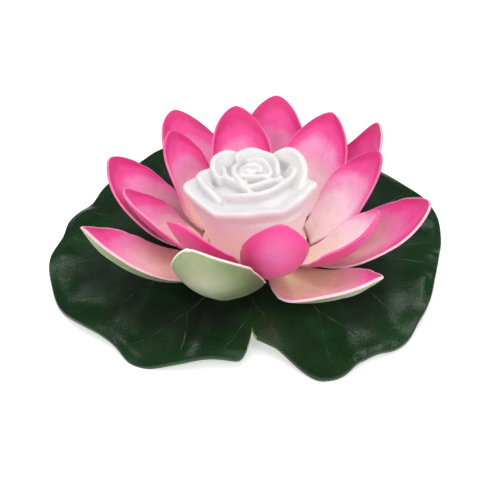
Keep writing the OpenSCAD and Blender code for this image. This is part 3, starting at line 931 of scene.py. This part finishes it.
# The crown's petals, from outside in, each with how far below its lip its foot is, and how far
# inside the lip.
CROWN_PETALS = (
    (((343, 23, 45), (358, 24, 47), (384, 26.4, 49), (402, 27.8, 50), (414, 27, 49.5),
      (424, 22, 47.5)), 12, 3),
    (((148, 19.4, 45.5), (164, 21.6, 47), (178, 23.6, 47.6), (192, 22.6, 47.2), (212, 21.2, 46.3),
      (230, 20.6, 43.6)), 9, 3),
    (((220, 17.4, 45.2), (245, 16.4, 46.6), (266, 15.5, 47), (287, 15, 47.1), (305, 14.7, 47.1),
      (337, 15.6, 47.4), (360, 18.8, 47.9), (376, 21, 48), (389, 20.8, 47)), 9, 3),
    (((103, 18.8, 48), (117, 21.6, 49.6), (130, 22.4, 49.6), (146, 21.2, 49.4), (164, 18.4, 48.6),
      (188, 14.6, 47.6)), 8, 2.4),
    (((-3, 12.2, 47.4), (18, 13.4, 49), (34, 14.8, 49.8), (54, 17, 50.4), (74, 17.9, 50.8),
      (91, 19, 51), (108, 17.8, 50.4), (120, 15.6, 49.4)), 8, 2.4),
    (((147, 15.6, 48), (166, 13, 48.4), (188, 12, 48.4), (209, 10.4, 48.4), (230, 10.1, 48.3),
      (249, 10.9, 48.1), (265, 13, 47.6), (279, 15, 46.8)), 7, 2),
    (((250, 9.6, 47.6), (270, 10.4, 48.4), (290, 9.9, 48.6), (312, 9.8, 48.7), (336, 12, 48.7),
      (350, 13.8, 48.4), (364, 12.4, 48)), 7, 2),
    (((128, 10.6, 49), (150, 9.8, 49.8), (177, 8.7, 50), (214, 8.4, 49.8), (240, 9.4, 49.4),
      (256, 8.2, 49)), 6, 1.6),
    (((322, 8.6, 49), (352, 9.4, 49.8), (387, 9.6, 50.1), (416, 11.4, 50.4), (440, 12, 50.4),
      (463, 10.8, 50)), 6, 1.6),
    (((138, 6, 50), (177, 5.3, 50.3), (218, 5.6, 50.3), (258, 5, 50.1), (292, 5.2, 50),
      (320, 6.1, 49.9), (343, 7.4, 49.6)), 5, 1),
    (((-4, 5.4, 50), (36, 6, 50.5), (80, 6.1, 50.7), (122, 5.6, 50.6), (156, 4.6, 50.2)), 5, 1),
    (((80, 3.6, 50.3), (150, 3.2, 50.7), (220, 2.7, 50.8), (290, 2.5, 50.7), (350, 2.9, 50.5),
      (400, 3.3, 50.2)), 4, 0.6),
    (((-20, 1.4, 50.5), (60, 1.2, 50.9), (140, 1.1, 51), (220, 1, 50.9)), 4, 0.4),
)

# The skin that closes the rose between its petals, as (radius, height) points from the axis
# out and down to the neck, and how thick it is.
CROWN_SKIN = ((0, 46.2), (8, 45), (15, 42.8), (21, 40.6), (23.6, 37), (22.6, 29), (20.6, 21))
CROWN_SKIN_T = 1.2

# The point that the crown's petals turn round, a little off the flower's axis.
CROWN_AT = (0.5, -15.6)

# How far a bowl petal flares out near its lip, how far the lip then rolls back in, and how its
# solid thickens below the lip: by how much for each millimetre down, and down to where.
BOWL_FLARE = 0.9
BOWL_ROLL = 0.7
BOWL_BULK = 2.2
BOWL_BULK_DEPTH = 3.5

# A crown petal's thickness at its lip, how much of its radius it gains, how far its lip rolls
# back in, and how far down it goes on thickening.
CROWN_T = 1.0
CROWN_SWELL = 0.05
CROWN_ROLL = 0.6
CROWN_BULK_DEPTH = 4.0

# The grids of the petals, the size of the mesh that joins them, and how often it is smoothed.
BOWL_GRID = (70, 44)
CROWN_GRID = (60, 20)
SKIN_COLUMNS = 97
ROSE_VOXEL = 0.4
ROSE_SOFTEN = 12


def solid_of(middle, bearing, outer, inner):
    """A closed solid between two grids of (radius, height), one row to each bearing."""
    turn = np.radians(bearing)[:, None]
    faces_of = [
        np.stack([middle[0] + r * np.cos(turn), middle[1] + r * np.sin(turn), z], -1)
        for r, z in (outer, inner)
    ]
    rows, cols = faces_of[0].shape[:2]
    count = rows * cols
    points = np.vstack([grid.reshape(-1, 3) for grid in faces_of])
    faces = grid_faces(rows, cols) + grid_faces(rows, cols, count, flip=True)
    loop = border(rows, cols)
    faces += [(a, a + count, b + count, b) for a, b in zip(loop, loop[1:] + loop[:1])]
    return points, faces


def bowl_petal(lip):
    """A petal of the bowl: up from the neck, flared out, and rolled over at its lip."""
    bearing, lip_r, lip_z = (c[:, None] for c in through(lip, BOWL_GRID[0]).T)
    w = np.linspace(0, 1, BOWL_GRID[1])[None, :]
    wall = NECK_R + (lip_r - BOWL_FLARE - NECK_R) * w
    radius = wall + BOWL_FLARE * smooth((w - 0.75) / 0.2) - BOWL_ROLL * smooth((w - 0.94) / 0.06)
    height = NECK_Z + (lip_z - NECK_Z) * w
    down = lip_z - height
    bulk = BOWL_BULK * np.minimum(down, BOWL_BULK_DEPTH) * (1 - smooth((down - 8) / 6))
    thick = SKIN_T + 1 + bulk
    return solid_of(FLOWER, bearing[:, 0], (radius, height), (radius - thick, height))


def crown_petal(lip, depth, inset):
    """A petal inside the bowl: it stands on its foot, and its inner face slopes inward."""
    bearing, lip_r, lip_z = (c[:, None] for c in through(lip, CROWN_GRID[0]).T)
    w = np.linspace(0, 1, CROWN_GRID[1])[None, :]
    radius = lip_r - inset * (1 - w) ** 1.4 - CROWN_ROLL * smooth((w - 0.85) / 0.15)
    height = lip_z - depth * (1 - w)
    thick = CROWN_T + CROWN_SWELL * lip_r + np.minimum(lip_z - height, CROWN_BULK_DEPTH)
    inner = np.maximum(radius - thick, 0.05)
    return solid_of(CROWN_AT, bearing[:, 0], (radius, height), (inner, height))


def crown_skin():
    """The closed skin under the petals."""
    bearing = np.linspace(0, 360, SKIN_COLUMNS)
    radius, height = np.asarray(CROWN_SKIN, float).T
    radius = np.broadcast_to(np.maximum(radius, 0.02), (len(bearing), len(radius)))
    height = np.broadcast_to(height, radius.shape)
    inner = np.maximum(radius - CROWN_SKIN_T, 0.01)
    return solid_of(FLOWER, bearing, (radius, height), (inner, height - CROWN_SKIN_T))


def joined(parts):
    """The points and faces of several solids, as one mesh."""
    points, faces, start = [], [], 0
    for part_points, part_faces in parts:
        points.append(part_points)
        faces += [tuple(n + start for n in face) for face in part_faces]
        start += len(part_points)
    return np.vstack(points), faces


def make_rose():
    """The rose's skin: its petals and the skin under them, merged and smoothed."""
    parts = [bowl_petal(lip) for lip in BOWL_PETALS]
    parts += [crown_petal(*row) for row in CROWN_PETALS]
    parts.append(crown_skin())
    rose = make_mesh("rose_lamp_skin", *joined(parts))
    remesh = rose.modifiers.new("skin", "REMESH")
    remesh.mode = "VOXEL"
    remesh.voxel_size = ROSE_VOXEL * MM
    soften = rose.modifiers.new("soften", "SMOOTH")
    soften.factor = 0.5
    soften.iterations = ROSE_SOFTEN
    settle(rose)
    place(rose, "lamp", "rose_shell", rose_finish())


# ---- finishes of the CAD nodes that stay ----

def finish_cad_nodes():
    """Gives each CAD node that still shows a material of its own."""
    white = plastic_finish("white_shell", "dcdcd9", "d2d2cf")
    grey_rubber = rubber_finish("grey_silicone", "b9bcbe", "9da1a4")
    black_rubber = rubber_finish("black_rubber", "3a3a3c", "1c1c1e")
    steel = metal_finish("zinc_steel", "c9cbd0", "a9acb2")
    gold = metal_finish("plated_brass", "d9b765", "b8924a", 0.22)
    looks = {
        "float_disc": foam_finish("float_beads", "fbfbfa", "e9e9e8", 1.6),
        "outer_hub_ring": foam_finish("hub_foam", "f6dcd0", "eccabf", 0.9),
        "lamp_socket": plastic_finish("socket_plastic", "f7e4d6", "f0d8ca"),
        "lamp_housing": white,
        "socket_lock_ring": white,
        "base_plate": white,
        "battery_cap": plastic_finish("cap_plastic", "d6d6d4", "cacac8", 0.36),
        "base_gasket": grey_rubber,
        "button_seal": grey_rubber,
        "button": rubber_finish("button_rubber", "8f9498", "74797d"),
        "cap_o_ring": black_rubber,
        "base_screws": steel,
        "coin_cell": metal_finish("cell_steel", "d4d5d8", "b9bbbf", 0.2),
        "negative_contact": steel,
        "positive_contact": gold,
        "led_board": board_finish(),
        "led": lens_finish(),
        "tact_switch": plastic_finish("switch_plastic", "2e2e30", "242426", 0.45),
        "switch_stem": plastic_finish("stem_plastic", "1e1e20", "18181a", 0.45),
    }
    looks["inner_hub_ring"] = looks["outer_hub_ring"]
    for node, material in looks.items():
        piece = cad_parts[node]
        piece.data.materials.clear()
        piece.data.materials.append(material)


make_studio()
make_petals()
make_leaf()
make_rose()
finish_cad_nodes()
